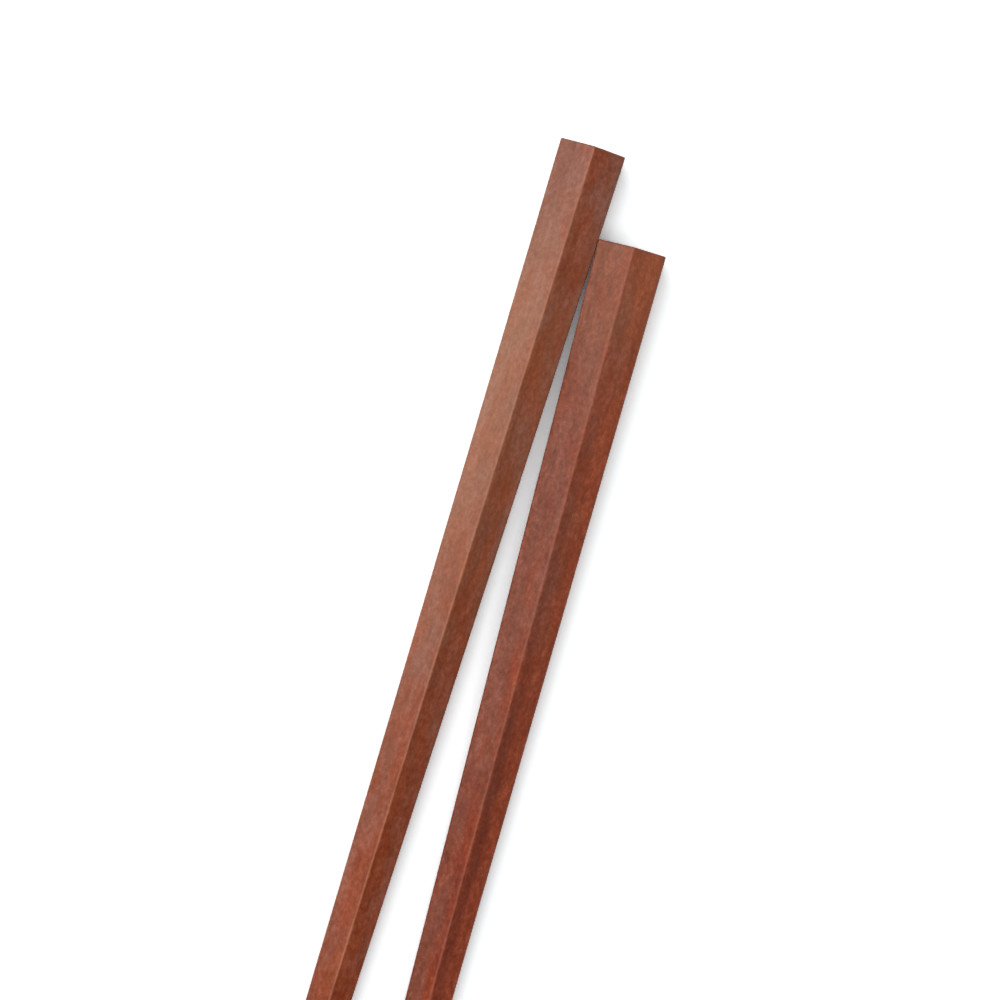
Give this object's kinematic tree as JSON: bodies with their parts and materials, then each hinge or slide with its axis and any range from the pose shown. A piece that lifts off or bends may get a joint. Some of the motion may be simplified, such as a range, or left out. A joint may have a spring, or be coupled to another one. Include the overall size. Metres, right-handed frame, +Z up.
{
  "type": "pair of wooden chopsticks",
  "caption": "Pair of straight tapered wooden chopsticks with a five-sided section, lying side by side with heads touching and tips apart.",
  "frame": {"origin": "middle of the pair's bounding box seen from above, at the height of the surface that both sticks lie on", "axes": "+X towards the heads, halfway between the directions of the two sticks; +Y towards the left stick; +Z up from the surface"},
  "size_m": [0.2412, 0.0194, 0.0087],
  "materials": {
    "lacquered_hardwood": "satin"
  },
  "bodies": {
    "root": {"left_chopstick": "lacquered_hardwood", "right_chopstick": "lacquered_hardwood"}
  },
  "joints": []
}
